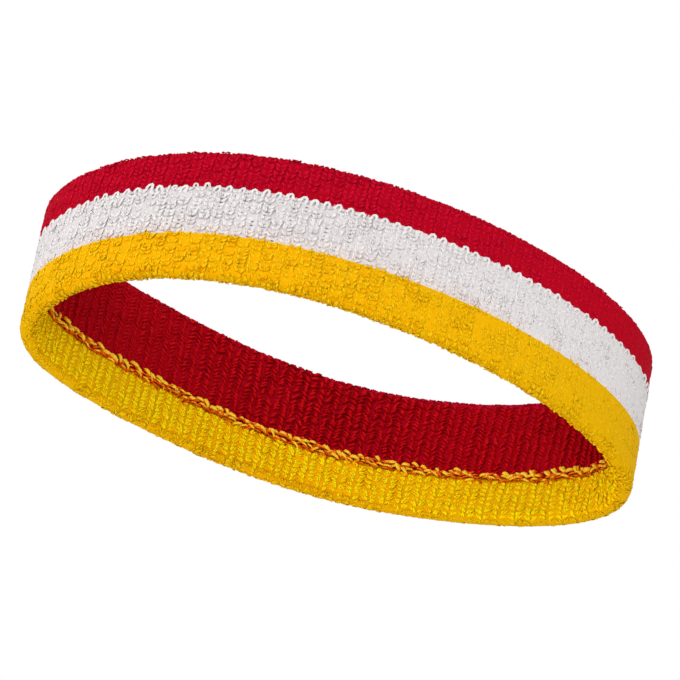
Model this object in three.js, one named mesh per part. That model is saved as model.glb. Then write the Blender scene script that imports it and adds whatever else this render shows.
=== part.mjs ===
// A terry sweatband for the head: one circular-knit tube folded double into an endless band.
// Millimetres, +Z up, the band standing on its lower fold with the red stripe on top.
// The three pile zones share one knitted ground, covered elastic threads lie against the back of
// both plies, and a linked seam closes the tube on the inside.

import * as THREE from 'three';

// The loop at half height, measured on the outside
const loopLength = 178;
const loopWidth = 88;
const bandHeight = 50;

// How the soft loop lies, as shares of its half length and half width
const lieX = { cos2: 0.062, sin2: -0.112, sin3: -0.035 };
const lieY = { cos2: 0.132, sin2: 0.084, sin3: -0.034 };

// Lean of the wall: outward travel for each millimetre of height, with its share toward +X and +Y
const flare = 0.075;
const flareRight = -0.042;
const flareFar = 0.1;

// The cloth, from the outside in
const pileThickness = 1.5;
const groundThickness = 0.6;
const hollowDepth = 1.5;
const layerGap = 0.3;
const foldRadius = 2.2;

// Heights above the lower fold
const yellowTop = 15.8;
const whiteTop = 35.5;
const stripeGap = 0.3;
const seamHeight = 17.8;

// The seam on the inner face
const seamEdgeHeight = 2.4;
const seamEdgeProud = 0.6;
const seamThreadHeight = 1;
const seamThreadProud = 0.25;
const seamButtGap = 0.3;

// The elastic threads in the hollow
const elasticDiameter = 0.9;
const elasticMargin = 6;
const outerElastics = 7;
const innerElastics = 6;

// Facets
const stepsRound = 44;
const stepsFold = 3;
const stepsThread = 5;

// Worked out from the sizes above
const plyThickness = pileThickness + layerGap + groundThickness;
const thickness = 2 * plyThickness + hollowDepth;
const groundInset = pileThickness + layerGap;
const seamEdgeTop = seamHeight + seamEdgeHeight / 2;
const seamEdgeBottom = seamHeight - seamEdgeHeight / 2;
const seamThreadTop = seamEdgeBottom - layerGap;
const seamThreadBottom = seamThreadTop - seamThreadHeight;
const elasticPitch = (bandHeight - 2 * elasticMargin) / (outerElastics - 1);
const latheRadius = 10 * thickness;

const paint = (color, roughness) => new THREE.MeshStandardMaterial({ color, roughness, metalness: 0 });
const redYarn = paint(0xc2001f, 0.95);
const whiteYarn = paint(0xe9e6ea, 0.95);
const yellowYarn = paint(0xf7b800, 0.95);
const groundYarn = paint(0xdad6d2, 0.9);
const rubberYarn = paint(0xf1efe8, 0.7);

// A point of the wall: angle round the loop, distance outward of the outer face, height
function placeOnLoop(angle, outward, height) {
  const a = loopLength / 2;
  const b = loopWidth / 2;
  const x = a * (Math.cos(angle) + lieX.cos2 * Math.cos(2 * angle) + lieX.sin2 * Math.sin(2 * angle)
    + lieX.sin3 * Math.sin(3 * angle));
  const y = b * (Math.sin(angle) + lieY.cos2 * Math.cos(2 * angle) + lieY.sin2 * Math.sin(2 * angle)
    + lieY.sin3 * Math.sin(3 * angle));
  const alongX = a * (-Math.sin(angle) - 2 * lieX.cos2 * Math.sin(2 * angle)
    + 2 * lieX.sin2 * Math.cos(2 * angle) + 3 * lieX.sin3 * Math.cos(3 * angle));
  const alongY = b * (Math.cos(angle) - 2 * lieY.cos2 * Math.sin(2 * angle)
    + 2 * lieY.sin2 * Math.cos(2 * angle) + 3 * lieY.sin3 * Math.cos(3 * angle));
  const length = Math.hypot(alongX, alongY);
  const lean = flare + flareRight * Math.cos(angle) + flareFar * Math.sin(angle);
  const reach = outward + lean * (height - bandHeight / 2);
  return [x + (alongY / length) * reach, y - (alongX / length) * reach, height];
}

// Turns a closed section, given as [outward, height] points, round the loop
function ring(name, section, material) {
  const points = section.map(([outward, height]) => new THREE.Vector2(latheRadius + outward, height));
  if (THREE.ShapeUtils.isClockWise(points)) points.reverse();
  points.push(points[0].clone());
  const geometry = new THREE.LatheGeometry(points, stepsRound);
  const position = geometry.attributes.position;
  for (let i = 0; i < position.count; i += 1) {
    const [side, height, front] = [position.getX(i), position.getY(i), position.getZ(i)];
    const outward = Math.hypot(side, front) - latheRadius;
    position.setXYZ(i, ...placeOnLoop(Math.atan2(side, front), outward, height));
  }
  geometry.computeVertexNormals();
  const mesh = new THREE.Mesh(geometry, material);
  mesh.name = name;
  return mesh;
}

// One rounded corner of the folded cloth, walked clockwise in a section seen with the outside right
function corner(inset, isOuter, isTop) {
  const radius = Math.max(foldRadius - inset, 0);
  const reach = Math.max(foldRadius, inset);
  const middle = [isOuter ? -reach : reach - thickness, isTop ? bandHeight - reach : reach];
  if (radius === 0) return [middle];
  const start = isTop ? (isOuter ? 90 : 180) : (isOuter ? 0 : -90);
  return Array.from({ length: stepsFold + 1 }, (_, i) => {
    const angle = THREE.MathUtils.degToRad(start - (90 * i) / stepsFold);
    return [middle[0] + radius * Math.cos(angle), middle[1] + radius * Math.sin(angle)];
  });
}

const topFold = (inset) => [...corner(inset, false, true), ...corner(inset, true, true)];
const bottomFold = (inset) => [...corner(inset, true, false), ...corner(inset, false, false)];

// A layer of cloth between two insets, along the path that a function of the inset gives
const layer = (path, inset, depth) => [...path(inset), ...path(inset + depth).reverse()];

const onInside = (inset, height) => [inset - thickness, height];
const onOutside = (inset, height) => [-inset, height];

const redPath = (inset) => [
  onInside(inset, seamEdgeTop + layerGap),
  ...topFold(inset),
  onOutside(inset, whiteTop + stripeGap / 2),
];
const whitePath = (inset) => [
  onOutside(inset, whiteTop - stripeGap / 2),
  onOutside(inset, yellowTop + stripeGap / 2),
];
const yellowPath = (inset) => [
  onOutside(inset, yellowTop - stripeGap / 2),
  ...bottomFold(inset),
  onInside(inset, seamThreadBottom - layerGap),
];
const groundPath = (inset) => [
  onInside(inset, seamHeight + seamButtGap / 2),
  ...topFold(inset),
  onOutside(inset, whiteTop),
  onOutside(inset, yellowTop),
  ...bottomFold(inset),
  onInside(inset, seamHeight - seamButtGap / 2),
];

// A seam thread lies in the gap of the pile and stands proud of the inner face
function seamSection(bottom, top, proud) {
  const back = pileThickness - thickness;
  const front = -proud - thickness;
  const round = (top - bottom) / 4;
  return [
    [back, bottom + round], [back, top - round], [back - round, top], [front + round, top],
    [front, top - round], [front, bottom + round], [front + round, bottom], [back - round, bottom],
  ];
}

function threadSection(outward, height) {
  return Array.from({ length: stepsThread }, (_, i) => {
    const angle = (2 * Math.PI * i) / stepsThread;
    return [outward + (elasticDiameter / 2) * Math.cos(angle), height + (elasticDiameter / 2) * Math.sin(angle)];
  });
}

const band = new THREE.Group();
band.name = 'sports_headband';

band.add(ring('ground_knit', layer(groundPath, groundInset, groundThickness), groundYarn));
band.add(ring('red_terry', layer(redPath, 0, pileThickness), redYarn));
band.add(ring('white_terry', layer(whitePath, 0, pileThickness), whiteYarn));
band.add(ring('yellow_terry', layer(yellowPath, 0, pileThickness), yellowYarn));

band.add(ring('seam_edge', seamSection(seamEdgeBottom, seamEdgeTop, seamEdgeProud), yellowYarn));
band.add(ring('seam_thread', seamSection(seamThreadBottom, seamThreadTop, seamThreadProud), redYarn));

const threadInset = plyThickness + layerGap + elasticDiameter / 2;
for (let i = 0; i < outerElastics; i += 1) {
  const height = elasticMargin + i * elasticPitch;
  band.add(ring(`elastic_outer_${i + 1}`, threadSection(-threadInset, height), rubberYarn));
}
for (let i = 0; i < innerElastics; i += 1) {
  const height = elasticMargin + (i + 0.5) * elasticPitch;
  band.add(ring(`elastic_inner_${i + 1}`, threadSection(threadInset - thickness, height), rubberYarn));
}

// The origin is under the middle of the band
const middle = new THREE.Box3().setFromObject(band).getCenter(new THREE.Vector3());
for (const mesh of band.children) mesh.geometry.translate(-middle.x, -middle.y, 0);

export default band;
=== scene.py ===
import math
import bpy
import numpy as np
from mathutils import Matrix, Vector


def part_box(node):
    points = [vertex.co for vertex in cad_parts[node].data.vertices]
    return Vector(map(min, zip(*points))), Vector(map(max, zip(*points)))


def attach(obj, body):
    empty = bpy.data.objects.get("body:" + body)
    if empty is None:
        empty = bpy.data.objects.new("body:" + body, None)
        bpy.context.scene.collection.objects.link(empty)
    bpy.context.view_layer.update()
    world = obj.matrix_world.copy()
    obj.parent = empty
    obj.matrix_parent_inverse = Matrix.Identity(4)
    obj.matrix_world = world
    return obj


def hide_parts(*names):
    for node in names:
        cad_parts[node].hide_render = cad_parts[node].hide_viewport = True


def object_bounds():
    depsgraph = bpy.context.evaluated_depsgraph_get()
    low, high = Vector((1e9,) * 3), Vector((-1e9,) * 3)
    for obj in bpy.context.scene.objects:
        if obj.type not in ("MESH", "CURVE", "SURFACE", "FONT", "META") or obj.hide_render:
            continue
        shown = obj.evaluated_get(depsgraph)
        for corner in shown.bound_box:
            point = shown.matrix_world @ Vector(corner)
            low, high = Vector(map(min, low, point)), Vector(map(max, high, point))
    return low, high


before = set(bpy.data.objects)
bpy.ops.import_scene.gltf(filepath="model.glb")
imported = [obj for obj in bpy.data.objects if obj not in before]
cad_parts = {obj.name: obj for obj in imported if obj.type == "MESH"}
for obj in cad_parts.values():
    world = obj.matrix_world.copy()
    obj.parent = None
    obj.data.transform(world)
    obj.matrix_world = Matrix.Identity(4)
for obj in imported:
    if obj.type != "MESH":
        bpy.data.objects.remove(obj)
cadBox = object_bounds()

mm = 0.001
bpy.ops.object.select_all(action="DESELECT")

# Where the cloth lies

band = {
    "length": 178 * mm,  # the loop outside, at half height
    "width": 88 * mm,
    "lieX": (0.062, -0.112, -0.035),  # shares of the half length: cos 2, sin 2, sin 3
    "lieY": (0.132, 0.084, -0.034),
    "flare": (0.075, -0.042, 0.1),  # lean of the wall: all round, to the right, to the back
    "thickness": 6.3 * mm,
    "ground": 1.8 * mm,  # from the tips of the pile to the knitted ground
    "lift": -1.35 * mm,  # the soft wall settles off the frame: up in front, down at the back,
    "stretch": (0.042, -0.048),  # taller all round, and by turns,
    "bow": (0.75 * mm, -0.6 * mm),  # in and out by turns,
    "upright": -0.02,  # and less flared
    "seam": 17.3 * mm,  # heights above the lower fold
    "redFrom": 34.2 * mm,
    "whiteFrom": 15.8 * mm,
    "slide": 2.2 * mm,  # the stripes ride up at the right end
    "facets": 44,  # of the frame's rings
}
bandHeight = cadBox[1][2] - cadBox[0][2]


def placeOnLoop(angle, outward, height):
    a, b = band["length"] / 2, band["width"] / 2
    x2, x2s, x3s = band["lieX"]
    y2, y2s, y3s = band["lieY"]
    c1, s1 = np.cos(angle), np.sin(angle)
    c2, s2 = np.cos(2 * angle), np.sin(2 * angle)
    c3, s3 = np.cos(3 * angle), np.sin(3 * angle)
    x = a * (c1 + x2 * c2 + x2s * s2 + x3s * s3)
    y = b * (s1 + y2 * c2 + y2s * s2 + y3s * s3)
    alongX = a * (-s1 - 2 * x2 * s2 + 2 * x2s * c2 + 3 * x3s * c3)
    alongY = b * (c1 - 2 * y2 * s2 + 2 * y2s * c2 + 3 * y3s * c3)
    size = np.hypot(alongX, alongY)
    flare, flareRight, flareBack = band["flare"]
    lean = flare + flareRight * c1 + flareBack * s1
    reach = outward + lean * (height - bandHeight / 2)
    return np.stack([x + alongY / size * reach, y - alongX / size * reach, height + 0 * angle], -1)


# The frame has its origin under the middle of its box, so the oval moves by as much
low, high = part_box("white_terry")
facets = np.arange(band["facets"]) * 2 * math.pi / band["facets"]
rings = np.concatenate([placeOnLoop(facets, 0, z) for z in (low[2], high[2])])
ovalShift = np.add(low, high) / 2 - (rings.min(0) + rings.max(0)) / 2
ovalShift[2] = 0
print("oval shift", ovalShift)

# A fine table turns a distance round the band into an angle
tableAngle = np.linspace(0, 2 * math.pi, 2881)  # every eighth of a degree
tableLine = placeOnLoop(tableAngle, -band["thickness"] / 2, bandHeight / 2)
tableRound = np.concatenate([[0], np.cumsum(np.linalg.norm(np.diff(tableLine, axis=0), axis=1))])
bandRound = tableRound[-1]

# Across the cloth, from the seam up the inside, over the top, down the outside, round the bottom
rowDepth = 0.9 * mm  # the rows keep their distance along a line this deep in the pile
topZ, bottomZ = bandHeight - band["thickness"] / 2, band["thickness"] / 2


def lengthsAt(depth):
    # Where the straights and folds end, along a line this deep in the cloth
    halfTurn = math.pi * (band["thickness"] / 2 - depth)
    return np.cumsum([0, topZ - band["seam"], halfTurn, topZ - bottomZ, halfTurn, band["seam"] - bottomZ])


stops = lengthsAt(rowDepth)
pileAcross = stops[-1]


def placeOnCloth(around, across, out):
    # A point of the cloth, out from the line that the rows keep
    foldRadius = band["thickness"] / 2 - rowDepth
    topTurn = np.clip((across - stops[1]) / foldRadius, 0, math.pi)
    turn = topTurn + np.clip((across - stops[3]) / foldRadius, 0, math.pi)
    over = across < (stops[2] + stops[3]) / 2
    height = np.where(over, topZ, bottomZ) + (foldRadius + out) * np.sin(turn)
    height = height + np.minimum(across - stops[1], 0) + np.maximum(across - stops[4], 0)
    height = height - np.where(over, np.maximum(across - stops[2], 0), np.minimum(across - stops[3], 0))
    outward = -band["thickness"] / 2 - (foldRadius + out) * np.cos(turn)
    angle = np.interp(np.mod(around, bandRound), tableRound, tableAngle)
    level = height - bandHeight / 2
    bow = band["bow"][0] * np.cos(2 * angle) + band["bow"][1] * np.sin(2 * angle)
    outward = outward + bow + band["upright"] * level
    stretch = band["stretch"][0] + band["stretch"][1] * np.sin(2 * angle)
    height = height + band["lift"] * np.sin(angle) + level * stretch
    return placeOnLoop(angle, outward, height) + ovalShift


def outsideAt(height):
    # How far across the cloth a height on the outside lies
    return stops[2] + topZ - height


def slideOf(angle, across):
    # How far the cloth has slipped round the folds: most on the outside, none at the seam
    share = np.clip(across / stops[2], 0, 1) * np.clip((pileAcross - across) / (pileAcross - stops[3]), 0, 1)
    return band["slide"] * np.clip(np.cos(angle), 0, 1) * share


felting = {  # worn patches: how much, their middle, reach and fade either way in degrees
    "outside": ((0.85, 350, 30, 55), (0.7, 180, 12, 40)),
    "inside": ((0.75, 150, 18, 45), (0.45, 30, 10, 30)),
}


def outerShare(across):
    # 0 on the inside of the band, 1 on the outside, between them round the folds
    top = np.clip((across - stops[1]) / (stops[2] - stops[1]), 0, 1)
    return top * np.clip((stops[4] - across) / (stops[4] - stops[3]), 0, 1)


def feltOf(angle, across):
    # 0 where the loops stand clear, 1 where wear has felted them
    worn = {}
    for face, patches in felting.items():
        worn[face] = np.zeros(np.shape(angle))
        for most, middle, reach, fade in patches:
            away = np.degrees(np.arccos(np.cos(angle - math.radians(middle))))
            worn[face] = np.maximum(worn[face], most * np.clip(1 - (away - reach) / fade, 0, 1))
    return worn["inside"] + (worn["outside"] - worn["inside"]) * outerShare(across)


redEnd = outsideAt(band["redFrom"])
whiteEnd = outsideAt(band["whiteFrom"])

# Camera, light and floor

shot = {
    "distance": 1.004,
    "elevation": -40,
    "azimuth": 3.2,
    "roll": 15,
    "lens": 183.2294,
    "sensor": 36,
    "shift": (0.0412, 0.0121),
    "farthest": 50,
}
elevation, azimuth, roll = (math.radians(shot[k]) for k in ("elevation", "azimuth", "roll"))
target = ovalShift + [0, 0, bandHeight / 2]
level = math.cos(elevation)
toward = np.array([level * math.sin(azimuth), level * math.cos(azimuth), -math.sin(elevation)])
right = np.array([math.cos(azimuth), -math.sin(azimuth), 0])
above = np.cross(right, toward)
rolledRight = right * math.cos(roll) + above * math.sin(roll)
rolledUp = above * math.cos(roll) - right * math.sin(roll)
camera = bpy.data.objects.new("camera", bpy.data.cameras.new("camera"))
bpy.context.collection.objects.link(camera)
place = np.eye(4)
place[:3, 0], place[:3, 1], place[:3, 2] = rolledRight, rolledUp, -toward
place[:3, 3] = target - toward * shot["distance"]
camera.matrix_world = Matrix(place)
camera.data.lens = shot["lens"]
camera.data.sensor_width = shot["sensor"]
camera.data.shift_x, camera.data.shift_y = shot["shift"]
camera.data.clip_end = shot["farthest"]
bpy.context.scene.camera = camera

studio = {
    "world": 1.0,
    "lamps": (  # name, place, size, watts
        ("keyLamp", (-1.0, -1.0, 0.5), 0.9, 5.5),
        ("fillLamp", (-0.45, -0.95, -0.65), 0.8, 4.5),
    ),
    "floorDrop": 0.95,  # the camera looks up at the band, so the floor is below them both
    "floorSize": 12,
    "floorColours": ((0.86, 0.86, 0.86, 1), (0.9, 0.9, 0.9, 1)),
}
scene = bpy.context.scene
scene.view_settings.view_transform = "Standard"
world = bpy.data.worlds.new("studio")
world.use_nodes = True
world.node_tree.nodes["Background"].inputs[0].default_value = (1, 1, 1, 1)
world.node_tree.nodes["Background"].inputs[1].default_value = studio["world"]
scene.world = world
for name, spot, size, watts in studio["lamps"]:
    lamp = bpy.data.objects.new(name, bpy.data.lights.new(name, "AREA"))
    lamp.data.size, lamp.data.energy = size, watts
    bpy.context.collection.objects.link(lamp)
    back = np.array(spot) - target
    back = back / np.linalg.norm(back)
    side = np.cross([0, 0, 1], back)
    side = side / np.linalg.norm(side)
    aim = np.eye(4)
    aim[:3, 0], aim[:3, 1], aim[:3, 2], aim[:3, 3] = side, np.cross(back, side), back, spot
    lamp.matrix_world = Matrix(aim)
bpy.ops.mesh.primitive_plane_add(size=studio["floorSize"], location=(0, 0, -studio["floorDrop"]))
floor = bpy.context.object
floor.name = "floor"
print("studio done")


class Wire:
    # One output socket of a shader; sums on it add Math nodes
    def __init__(self, tree, socket=None):
        self.tree, self.socket = tree, socket

    def add(self, kind, settings=None, sockets=None, output=0):
        node = self.tree.nodes.new(kind)
        for name, value in (settings or {}).items():
            if name == "stops":
                ramp = node.color_ramp
                while len(ramp.elements) < len(value):
                    ramp.elements.new(0.5)
                for element, (spot, colour) in zip(ramp.elements, value):
                    element.position, element.color = spot, (*colour, 1)
            else:
                setattr(node, name, value)
        for name, value in (sockets or {}).items():
            if isinstance(value, Wire):
                self.tree.links.new(value.socket, node.inputs[name])
            else:
                node.inputs[name].default_value = value
        return Wire(self.tree, node.outputs[output])

    def sum(self, operation, a, b=0.0, clamp=False):
        return self.add("ShaderNodeMath", {"operation": operation, "use_clamp": clamp}, {0: a, 1: b})

    def __add__(self, other):
        return self.sum("ADD", self, other)

    def __sub__(self, other):
        return self.sum("SUBTRACT", self, other)

    def __mul__(self, other):
        return self.sum("MULTIPLY", self, other)

    def __rsub__(self, other):
        return self.sum("SUBTRACT", other, self)

    __radd__, __rmul__ = __add__, __mul__

    def held(self):
        return self.sum("ADD", self, 0.0, True)

    def mix(self, amount, a, b):
        return self.add("ShaderNodeMix", {"data_type": "RGBA"}, {0: amount, 6: a, 7: b}, 2)


def newMaterial(name, roughness=0.9):
    material = bpy.data.materials.new(name)
    material.use_nodes = True
    tree = material.node_tree
    shader = tree.nodes["Principled BSDF"]
    shader.inputs["Roughness"].default_value = roughness
    shader.inputs["Specular IOR Level"].default_value = 0.04  # cloth hardly shines
    return material, Wire(tree), shader


yarnLook = {
    "fibreScale": 2200,
    "patchScale": 90,
    "ownShade": 0.35,  # how far one loop differs from the next,
    "patchShade": 0.2,  # one patch from another
    "fibreShade": 0.6,  # and one fibre from another
    "feltHides": 0.75,  # felt takes this much of the difference away
    "feltLevel": 0.5,  # and brings the rest to this level
    "ramp": (0.1, 0.55, 1.0),
    "bleedColour": (0.95, 0.55, 0.35, 1),  # the next stripe's yarn shows through
    "bleedShare": 0.5,
    "bump": 0.9,
    "bumpHeight": 0.3 * mm,
}


def yarnMaterial(name, deep, body, tip):
    # Painted shade: darker where the loops go down into the ground, paler at their tips; each loop also has
    # its own random tone
    material, wires, shader = newMaterial(name)
    spot = wires.add("ShaderNodeTexCoord", output=3)
    rise = wires.add("ShaderNodeAttribute", {"attribute_name": "rise"}, output=2)
    shade = wires.add("ShaderNodeAttribute", {"attribute_name": "shade"}, output=2)
    grain = {"Vector": spot, "Scale": yarnLook["fibreScale"], "Detail": 3, "Roughness": 0.7}
    fibres = wires.add("ShaderNodeTexNoise", sockets=grain)
    patch = {"Vector": spot, "Scale": yarnLook["patchScale"], "Detail": 2}
    patches = wires.add("ShaderNodeTexNoise", sockets=patch)
    tint = wires.add("ShaderNodeAttribute", {"attribute_name": "tint"}, output=2)
    felt = wires.add("ShaderNodeAttribute", {"attribute_name": "felt"}, output=2)
    # The level sets the colour, so the loop's rise paints shade down into the pile
    level = rise + (shade - 0.5) * yarnLook["ownShade"] + (patches - 0.5) * yarnLook["patchShade"]
    level = level * (1 - felt * yarnLook["feltHides"]) + felt * yarnLook["feltLevel"]
    level = level + (fibres - 0.5) * yarnLook["fibreShade"]
    shades = tuple(zip(yarnLook["ramp"], (deep, body, tip)))
    colour = wires.add("ShaderNodeValToRGB", {"stops": shades}, {0: level})
    colour = wires.mix(tint * yarnLook["bleedShare"], colour, yarnLook["bleedColour"])
    fine = {"Height": fibres, "Strength": yarnLook["bump"], "Distance": yarnLook["bumpHeight"]}
    bump = wires.add("ShaderNodeBump", sockets=fine)
    wires.tree.links.new(colour.socket, shader.inputs["Base Color"])
    wires.tree.links.new(bump.socket, shader.inputs["Normal"])
    return material


yarns = {  # deep in the pile as painted shade, body, and tip
    "red": yarnMaterial("redTerry", (0.46, 0.0, 0.014), (0.53, 0.0, 0.018), (0.58, 0.003, 0.028)),
    "white": yarnMaterial("whiteTerry", (0.69, 0.65, 0.65), (0.78, 0.74, 0.735), (0.8, 0.77, 0.76)),
    "yellow": yarnMaterial("yellowTerry", (0.78, 0.33, 0.0), (0.81, 0.465, 0.0), (0.85, 0.53, 0.005)),
    "redInside": yarnMaterial("redLining", (0.22, 0.0, 0.001), (0.5, 0.0, 0.003), (0.66, 0.004, 0.01)),
    # The inside yellow is the same yarn, painted brighter as painted light for the dim light inside the band
    "yellowInside": yarnMaterial("yellowLining", (1.0, 0.48, 0.0), (1.0, 0.73, 0.0), (1.0, 0.82, 0.004)),
    "chain": yarnMaterial("seamChainYarn", (1.0, 0.2, 0.0), (1.0, 0.5, 0.0), (1.0, 0.7, 0.05)),
    "thread": yarnMaterial("seamThreadYarn", (0.4, 0.005, 0.002), (0.68, 0.04, 0.0), (0.95, 0.2, 0.01)),
}

floorMaterial, wires, shader = newMaterial("paleFloor", 0.8)
spot = wires.add("ShaderNodeTexCoord", output=3)
grain = wires.add("ShaderNodeTexNoise", sockets={"Vector": spot, "Scale": 4})
pale = wires.mix(grain, *studio["floorColours"])
wires.tree.links.new(pale.socket, shader.inputs["Base Color"])
floor.data.materials.append(floorMaterial)
print("yarns", len(yarns))

# The pile

pile = {
    "wale": 4.26 * mm,  # from one column of stitches to the next
    "waleBack": 0.84 * mm,  # and how much more at the back, or less in front,
    "waleTurn": 3,  # changing this sharply at the ends
    "drawn": 4.0 * mm,  # the width that the path is drawn for
    "course": 1.5 * mm,  # from one row to the next
    "foot": 0.45 * mm,  # of a stitch, below the line of its row
    "tall": 1.25 * mm,  # from its foot to its tip
    "tallest": 1.2,  # the highest rise that the colours know, as a share of that
    "seamClear": (1.3 * mm, 1.6 * mm),  # bare cloth above the seam and below it
    "topShift": 0.5 * mm,  # from the end of the inside wall to the first outside row
    "turnRows": (2.6 * mm, 1.0 * mm),  # above the bottom, and short of the fold's end, a row lies deeper, with painted shade
    "turnLower": 0.06 * mm,
    "turnPaintedShade": 0.3,
    "bleedRows": 4,  # the last rows of the white show the yellow
}
leg = {
    "strand": 0.36 * mm,  # radius of one of the yarn's two strands
    "ply": 0.24 * mm,  # of a strand from the middle of the yarn
    "twist": math.radians(42),  # of the yarn from one point of its path to the next
    "path": (  # in mm: along the row, up the column, out of the cloth
        (0.3, -1.1, -0.6),
        (0.5, -0.75, 0.12),
        (0.98, -0.1, 0.36),
        (1.42, 0.5, 0.22),
        (1.72, 1.0, -0.45),
    ),
    "fat": (0.6, 1.0, 1.15, 1.0, 0.6),  # the yarn's thickness at each point
    "sides": 4,
}
shortLeg = {
    **leg,
    "strand": 0.37 * mm,
    "ply": 0.3 * mm,
    "twist": math.radians(16),
    "path": (
        (0.52, -0.9, -0.5),
        (0.7, -0.6, 0.12),
        (0.98, -0.1, 0.3),
        (1.26, 0.4, 0.2),
        (1.46, 0.8, -0.4),
    ),
}
finger = {
    "strand": 0.24 * mm,
    "ply": 0.2 * mm,
    "twist": 0,
    "path": (
        (-0.8, -1.2, -0.5),
        (-0.9, -0.1, 0.3),
        (-0.6, 0.75, 0.45),
        (0, 1.1, 0.5),
        (0.6, 0.75, 0.45),
        (0.9, -0.1, 0.3),
        (0.8, -1.2, -0.5),
    ),
    "bends": (0.1, 0.6, 0.87, 0.87, 0.6, 0.1),  # radians, over the loop's head
    "fat": (0.8, 1, 1, 1, 1, 1, 0.8),
    "sides": 5,
    "past": 0.9 * mm,  # beyond the border, on the red
}
# The columns stand closer in front than at the back, where the band is pulled out
tableWales = pile["wale"] + pile["waleBack"] * np.tanh(pile["waleTurn"] * np.sin(tableAngle))
tableCount = np.concatenate([[0], np.cumsum(np.diff(tableRound) / tableWales[1:])])
waleCount = round(tableCount[-1])
tableCount = tableCount * waleCount / tableCount[-1]
walePitch = bandRound / waleCount
rowCount = round(pileAcross / pile["course"])
rowPitch = pileAcross / rowCount
print("wales", waleCount, "rows", rowCount)


def modelYarn(name, part):
    # Two strands wound round each other along a path, thinner at its buried ends
    path = [np.array(point) * mm for point in part["path"]]
    bpy.ops.object.select_all(action="DESELECT")
    strands = []
    for side in (-1, 1):
        bpy.ops.mesh.primitive_circle_add(
            vertices=part["sides"], radius=part["strand"], fill_type="NGON",
            location=path[0] + [side * part["ply"], 0, 0], rotation=(math.pi / 2, 0, 0),
        )
        strands.append(bpy.context.object)
    strands[0].select_set(True)
    bpy.ops.object.join()
    yarn = bpy.context.object
    yarn.name = yarn.data.name = name
    bpy.ops.object.transform_apply(location=True, rotation=True, scale=True)
    bpy.ops.object.mode_set(mode="EDIT")
    bpy.ops.mesh.select_all(action="SELECT")
    first = part["fat"][0]
    bpy.ops.transform.resize(value=(first, first, first), center_override=path[0])
    for i in range(1, len(path)):
        grow = part["fat"][i] / part["fat"][i - 1]
        bpy.ops.mesh.extrude_region_move(TRANSFORM_OT_translate={"value": path[i] - path[i - 1]})
        bpy.ops.transform.rotate(value=part["twist"], orient_axis="Y", center_override=path[i])
        if "bends" in part:
            bpy.ops.transform.rotate(value=part["bends"][i - 1], orient_axis="Z", center_override=path[i])
        bpy.ops.transform.resize(value=(grow, grow, grow), center_override=path[i])
    bpy.ops.mesh.select_all(action="SELECT")
    bpy.ops.mesh.normals_make_consistent(inside=False)
    bpy.ops.object.mode_set(mode="OBJECT")
    return yarn


def modelStitch(name, part):
    # A leg of the knit and its mirror image, a V that opens towards +Y
    first = modelYarn(name, part)
    bpy.ops.object.duplicate()
    bpy.ops.transform.resize(value=(-1, 1, 1), center_override=(0, 0, 0))
    bpy.ops.object.transform_apply(location=True, rotation=True, scale=True)
    bpy.ops.object.mode_set(mode="EDIT")
    bpy.ops.mesh.select_all(action="SELECT")
    bpy.ops.mesh.normals_make_consistent(inside=False)
    bpy.ops.object.mode_set(mode="OBJECT")
    first.select_set(True)
    bpy.ops.object.join()
    return bpy.context.object


def copyRows(source, name, rows, columns):
    # Rows and columns of copies in one mesh, the first row nearest the origin
    piece = source.copy()
    piece.data = source.data.copy()
    piece.name = piece.data.name = name
    bpy.context.collection.objects.link(piece)
    bpy.ops.object.select_all(action="DESELECT")
    piece.select_set(True)
    bpy.context.view_layer.objects.active = piece
    for count, step in ((columns, (walePitch, 0, 0)), (rows, (0, rowPitch, 0))):
        array = piece.modifiers.new("rows", "ARRAY")
        array.count = count
        array.use_relative_offset = False
        array.use_constant_offset = True
        array.constant_offset_displace = step
        bpy.ops.object.modifier_apply(modifier=array.name)
    return piece


def pointsOf(piece):
    points = np.empty(len(piece.data.vertices) * 3)
    piece.data.vertices.foreach_get("co", points)
    return points.reshape(-1, 3)


def setPoints(piece, points, **numbers):
    piece.data.vertices.foreach_set("co", np.ascontiguousarray(points, dtype=np.float32).ravel())
    for name, values in numbers.items():
        attribute = piece.data.attributes.new(name, "FLOAT", "POINT")
        attribute.data.foreach_set("value", np.ascontiguousarray(values, dtype=np.float32).ravel())
    piece.data.update()


def softNoise(u, v, scale, seed):
    # Smooth noise on the cloth, even round the join: a sum of a few waves
    chance = np.random.default_rng(seed)
    total = np.zeros(np.broadcast(u, v).shape)
    waves = 7
    for _ in range(waves):
        turns = chance.integers(2, max(3, int(bandRound / scale)))
        tilt = chance.uniform(-1, 1) * 2 * math.pi / scale
        total = total + np.sin(2 * math.pi * turns * u / bandRound + tilt * v + chance.uniform(0, 6.3))
    return total / 2.6  # near the root of the number of waves


# How stitches stray: a wave that neighbours share, its length, and each one's own part of the tangle
stray = {
    "size": (0.04, 9 * mm, 0.3),
    "turn": (0.08, 14 * mm, 1),
    "lift": (0.06 * mm, 6 * mm, 0.5 * mm),
    "drift": (0.15 * mm, 11 * mm, 0.8 * mm),
    "slip": (0.1 * mm, 5 * mm, 1.2 * mm),
}
feltCalms = {"tangle": 0.8, "relief": 0.65}


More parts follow.
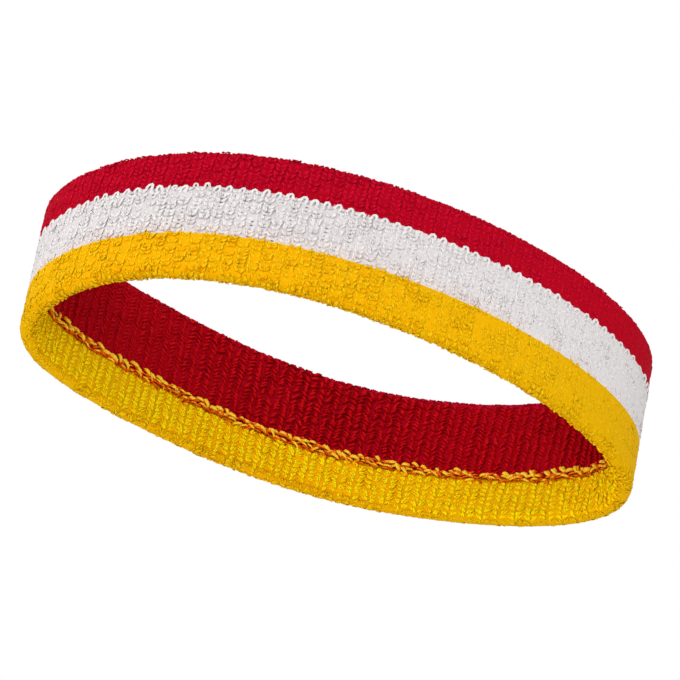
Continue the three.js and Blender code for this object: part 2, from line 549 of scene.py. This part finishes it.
def layStitches(name, model, rows, columns, around, across, look, seed):
    # One stitch at each spot of the cloth, turned and sized by its look
    piece = copyRows(model, name, rows, columns)
    each = len(model.data.vertices)
    points = pointsOf(piece).reshape(rows, columns, each, 3)
    row, column = np.mgrid[0:rows, 0:columns]
    points = points - np.stack([column * walePitch, row * rowPitch, 0 * row], -1)[:, :, None]
    chance = np.random.default_rng(seed)
    angle = np.interp(np.mod(around, bandRound), tableRound, tableAngle)
    felt = feltOf(angle, across) * look.get("felts", 1)
    tangle = look["tangle"] * (1 - feltCalms["tangle"] * felt)
    relief = (look.get("relief", 1) * (1 - feltCalms["relief"] * felt))[..., None]
    strays = []
    for index, (wave, length, own) in enumerate(stray.values()):
        shared = wave * softNoise(around, across, length, seed + index)
        strays.append((shared + chance.normal(0, own, row.shape) * tangle)[..., None])
    size, turn, lift, drift, slip = strays
    size = size + 1
    turn = turn + look.get("turn", 0)
    lift = lift + (look.get("lift", 0) * np.ones(row.shape))[..., None]
    wide = 1
    if look.get("fit"):  # a stitch is as wide as its column
        wide = (np.interp(angle, tableAngle, tableWales) / pile["drawn"])[..., None]
    x, y, z = points[..., 0] * size * wide, points[..., 1] * size, points[..., 2] * size * relief
    x, y = x * np.cos(turn) - y * np.sin(turn), x * np.sin(turn) + y * np.cos(turn)
    x, y, z = (v + chance.normal(0, look.get("fuzz", 0.05 * mm), v.shape) for v in (x, y, z))
    placed = placeOnCloth(around[..., None] + x + drift, across[..., None] - y + slip, z + lift)
    shade = chance.random(row.shape)
    perStitch = (shade, look.get("tint", 0), felt, look.get("paintedRowShade", 0))
    shade, tint, felt, paintedRowShade = (np.repeat((v * np.ones(row.shape))[..., None], each, 2) for v in perStitch)
    # The turning rows take painted shade: their rise is lowered toward the deep colour
    rise = np.clip((z / relief + pile["foot"]) / pile["tall"], 0, pile["tallest"]) - paintedRowShade
    setPoints(piece, placed.reshape(-1, 3), rise=rise, shade=shade, tint=tint, felt=felt)
    piece.data.materials.append(yarns[look["yarn"]])
    bpy.ops.object.shade_smooth()
    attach(piece, "root")
    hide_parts(look["node"])
    print(name, "stitches", rows * columns)
    return piece


def knitPile(name, rowFrom, rowTo, look, seed):
    row, wale = np.mgrid[rowFrom:rowTo, 0:waleCount]
    around = np.interp(wale, tableCount, tableRound)
    across = (row + 0.5) * rowPitch
    angle = np.interp(around, tableRound, tableAngle)
    across = across - slideOf(angle, across)
    tint = np.clip(1 - (rowTo - row) / pile["bleedRows"], 0, 1) * look.get("bleed", 0)
    turning = np.isin(row, turnRows) * 1.0
    look = {
        **look,
        "fit": True,
        "tint": tint,
        "lift": -pile["turnLower"] * turning,
        "paintedRowShade": pile["turnPaintedShade"] * turning,
    }
    model = stitchModels[look["model"]]
    return layStitches(name, model, rowTo - rowFrom, waleCount, around, across, look, seed)


stitchModels = {"long": modelStitch("longStitch", leg), "short": modelStitch("shortStitch", shortLeg)}
for model in stitchModels.values():
    print("stitch faces", len(model.data.polygons), "points", len(model.data.vertices))
firstRow = round(pile["seamClear"][0] / rowPitch)
topRow = round((stops[1] + pile["topShift"]) / rowPitch)
redRow = round(redEnd / rowPitch)
whiteRow = round(whiteEnd / rowPitch)
bottomRow = round(stops[4] / rowPitch) - 1  # the lining starts in the fold
lastRow = rowCount - round(pile["seamClear"][1] / rowPitch)
turnHeight, turnPast = pile["turnRows"]
turnRows = (round(outsideAt(turnHeight) / rowPitch), round((stops[4] - turnPast) / rowPitch))
middleRow = (firstRow + topRow) // 2
outside = {"model": "short", "tangle": 0.2, "relief": 0.3, "fuzz": 0.09 * mm}
inside = {"model": "long", "tangle": 0.2, "relief": 0.9, "fuzz": 0.08 * mm}
redTerry = {"slot": "red_terry", "node": "red_terry"}
whiteTerry = {"slot": "white_terry", "node": "white_terry"}
yellowTerry = {"slot": "yellow_terry", "node": "yellow_terry"}
looks = {
    "red": {**outside, **redTerry, "yarn": "red"},
    "redInside": {**inside, **redTerry, "yarn": "redInside"},
    "white": {**outside, **whiteTerry, "yarn": "white", "bleed": 0.6},
    "yellow": {**outside, **yellowTerry, "yarn": "yellow"},
    "yellowInside": {**inside, **yellowTerry, "yarn": "yellowInside", "model": "short", "relief": 0.6},
    "finger": {
        **whiteTerry,
        "yarn": "white",
        "felts": 0.7,
        "tangle": 0.3,
        "turn": -0.22,
        "lift": 0.05 * mm,
        "relief": 0.8,
        "fit": True,
    },
}
pieces = [
    knitPile("redLiningLower", firstRow, middleRow, looks["redInside"], 11),
    knitPile("redLiningUpper", middleRow, topRow, looks["redInside"], 12),
    knitPile("redStripe", topRow, redRow, looks["red"], 13),
    knitPile("whiteStripe", redRow, whiteRow, looks["white"], 14),
    knitPile("yellowStripe", whiteRow, bottomRow, looks["yellow"], 15),
    knitPile("yellowLining", bottomRow, lastRow, looks["yellowInside"], 16),
]
# The last white loops lie over the red
fingerModel = modelYarn("finger", finger)
wales = np.arange(waleCount)[None] + 0.5
fingers = np.interp(wales, tableCount, tableRound)
fingerSlide = slideOf(np.interp(fingers, tableRound, tableAngle), redEnd)
fingerLine = redRow * rowPitch + finger["past"] - fingerSlide
pieces.append(
    layStitches("whiteFingers", fingerModel, 1, waleCount, fingers, fingerLine, looks["finger"], 21)
)
bpy.data.objects.remove(fingerModel)
print("pile done")

# The seam

bead = {
    "strand": 0.48 * mm,
    "ply": 0.4 * mm,
    "twist": math.radians(26),
    "path": ((0, -1.5, -0.4), (0, -1.0, 0.15), (0, 0, 0.4), (0, 1.0, 0.15), (0, 1.5, -0.4)),
    "fat": (0.6, 0.95, 1.15, 0.95, 0.6),
    "sides": 6,
}
yellowSeam = {"felts": 0, "yarn": "chain", "slot": "yellow_seam", "node": "seam_edge"}
redSeam = {"felts": 0, "yarn": "thread", "slot": "red_seam", "node": "seam_thread"}
seams = {  # share of the bead's thickness, spacing, height above the join, look
    "seamBeads": (0.95, 2.3 * mm, 1.1 * mm, {**yellowSeam, "tangle": 0.4, "turn": 1.0, "lift": 0.15 * mm}),
    "seamUnder": (0.6, 2.1 * mm, -0.3 * mm, {**yellowSeam, "tangle": 0.45, "turn": 1.3, "lift": 0.25 * mm}),
    "seamThread": (0.5, 1.5 * mm, 0.3 * mm, {**redSeam, "tangle": 0.4, "turn": 1.5, "lift": 0.25 * mm}),
    "seamLock": (0.45, 1.8 * mm, -1.2 * mm, {**redSeam, "tangle": 0.35, "turn": 1.4, "lift": 0.2 * mm}),
}
for index, (name, (scale, spacing, above, look)) in enumerate(seams.items()):
    part = {**bead, "strand": bead["strand"] * scale, "ply": bead["ply"] * scale}
    model = modelYarn(name + "Model", part)
    count = round(bandRound / spacing)
    links = np.arange(count)[None] * bandRound / count
    pieces.append(layStitches(name, model, 1, count, links, 0 * links + above, look, 31 + index))
    bpy.data.objects.remove(model)
for model in stitchModels.values():
    bpy.data.objects.remove(model)
print("seam done")

# The knitted ground

ground = {
    "thickness": 1.2 * mm,
    "outInside": -0.2 * mm,  # from the line of the rows, on the inside
    "out": -0.07 * mm,  # and on the outside,
    "felted": 0.22 * mm,  # further out where the loops are felted
    "seamGap": 0.15 * mm,
    "columns": 220,
    "colours": {  # between the loops, darkened as painted shade, and where they are felted
        "red": ((0.34, 0.0, 0.008, 1), (0.45, 0.0, 0.01, 1)),
        "white": ((0.6, 0.56, 0.56, 1), (0.73, 0.7, 0.7, 1)),
        "yellow": ((0.78, 0.36, 0.0, 1), (0.76, 0.43, 0.0, 1)),
    },
    # The inside yellow between the loops: painted brighter for the dim light inside the band, and darker
    # than its yarn as painted shade
    "yellowInside": (0.95, 0.48, 0.0, 1),
    "speck": (0.4, 0.5),  # felted fibres past this are darkened by this share
    "fibreScale": 1500,
    "bump": 1.0,
    "bumpHeight": 0.4 * mm,
    "gap": (0.12, 0.1, 0.1, 1),  # painted shade: shadowed spots in the holes at the foot of some of the white Vs
    "gapWale": 0.55,  # nearer 1, narrower along the row
    "gapRow": 0.3,  # and up the column
    "gapSparse": 0.47,
    "gapScale": 260,
}
bpy.ops.object.select_all(action="DESELECT")
bpy.ops.mesh.primitive_grid_add(x_subdivisions=ground["columns"], y_subdivisions=rowCount, size=1)
cloth = bpy.context.object
cloth.name = cloth.data.name = "groundCloth"
flat = pointsOf(cloth) + 0.5
across = ground["seamGap"] + flat[:, 1] * (pileAcross - 2 * ground["seamGap"])
angle = np.interp(flat[:, 0] * bandRound, tableRound, tableAngle)
felt = feltOf(angle, across)
foldTops = ((stops[1] + stops[2]) / 2, (stops[3] + stops[4]) / 2)
depths = (ground["outInside"], ground["out"], ground["out"], ground["outInside"])
out = np.interp(across, (stops[1], *foldTops, stops[4]), depths) + ground["felted"] * felt
placed = placeOnCloth(flat[:, 0] * bandRound, across, out)
wale = np.interp(flat[:, 0] * bandRound, tableRound, tableCount)
setPoints(cloth, placed, across=(across + slideOf(angle, across)) / mm, felt=felt, wale=wale)
bpy.ops.object.mode_set(mode="EDIT")
bpy.ops.mesh.select_all(action="SELECT")
bpy.ops.mesh.remove_doubles(threshold=1e-6)
bpy.ops.mesh.normals_make_consistent(inside=False)
bpy.ops.object.mode_set(mode="OBJECT")
wall = cloth.modifiers.new("wall", "SOLIDIFY")
wall.thickness, wall.offset = ground["thickness"], -1
bpy.ops.object.modifier_apply(modifier="wall")
bpy.ops.object.shade_smooth()


def groundMaterial():
    # The ground has the stripes' colours, darkened as painted shade between the loops, and smoother where it
    # is felted
    material, wires, shader = newMaterial("groundKnit")
    far = wires.add("ShaderNodeAttribute", {"attribute_name": "across"}, output=2)
    spot = wires.add("ShaderNodeTexCoord", output=3)
    grain = {"Vector": spot, "Scale": ground["fibreScale"], "Detail": 2}
    fibres = wires.add("ShaderNodeTexNoise", sockets=grain)
    isWhite = wires.sum("GREATER_THAN", far, redEnd / mm) * wires.sum("LESS_THAN", far, whiteEnd / mm)
    isYellow = wires.sum("GREATER_THAN", far, whiteEnd / mm)
    isInside = wires.sum("GREATER_THAN", far, stops[4] / mm)
    colours = []
    for red, white, yellow in zip(*ground["colours"].values()):
        colours.append(wires.mix(isYellow, wires.mix(isWhite, red, white), yellow))
    colour, felted = colours
    colour = wires.mix(isInside, colour, ground["yellowInside"])
    speckFrom, speckShare = ground["speck"]
    darker = wires.mix(speckShare, felted, (0.0, 0.0, 0.0, 1))
    felted = wires.mix((fibres - speckFrom).held(), felted, darker)
    felt = wires.add("ShaderNodeAttribute", {"attribute_name": "felt"}, output=2)
    wale = wires.add("ShaderNodeAttribute", {"attribute_name": "wale"}, output=2)
    # Where the painted shade of the holes falls: beside a wale, beside a row, here and there
    besideWale = wires.sum("COSINE", wale * (2 * math.pi)) - ground["gapWale"]
    besideRow = wires.sum("COSINE", far * (2 * math.pi * mm / rowPitch)) - ground["gapRow"]
    noise = wires.add("ShaderNodeTexNoise", sockets={"Vector": spot, "Scale": ground["gapScale"]})
    sparse = (noise - ground["gapSparse"]) * 8
    gap = (besideWale * 3).held() * (besideRow * 3).held() * sparse.held()
    # Painted shade in the holes of the white knit, none where it is felted
    colour = wires.mix(gap * isWhite * (1 - felt), colour, ground["gap"])
    colour = wires.mix(felt, colour, felted)
    fine = {"Height": fibres, "Strength": ground["bump"], "Distance": ground["bumpHeight"]}
    bump = wires.add("ShaderNodeBump", sockets=fine)
    wires.tree.links.new(colour.socket, shader.inputs["Base Color"])
    wires.tree.links.new(bump.socket, shader.inputs["Normal"])
    return material


cloth.data.materials.append(groundMaterial())
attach(cloth, "root")
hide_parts("ground_knit")

# The elastic threads, which stay as the frame has them

elastic = {"wrapScale": 900, "colours": ((0.7, 0.68, 0.62, 1), (0.85, 0.84, 0.8, 1)), "roughness": 0.6}
material, wires, shader = newMaterial("coveredElastic", elastic["roughness"])
spot = wires.add("ShaderNodeTexCoord", output=3)
wrap = wires.add(
    "ShaderNodeTexWave", sockets={"Vector": spot, "Scale": elastic["wrapScale"], "Distortion": 1},
)
colour = wires.mix(wrap, *elastic["colours"])
wires.tree.links.new(colour.socket, shader.inputs["Base Color"])
for name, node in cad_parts.items():
    if name.startswith("elastic"):
        node.data.materials.clear()
        node.data.materials.append(material)
print("elastic done")
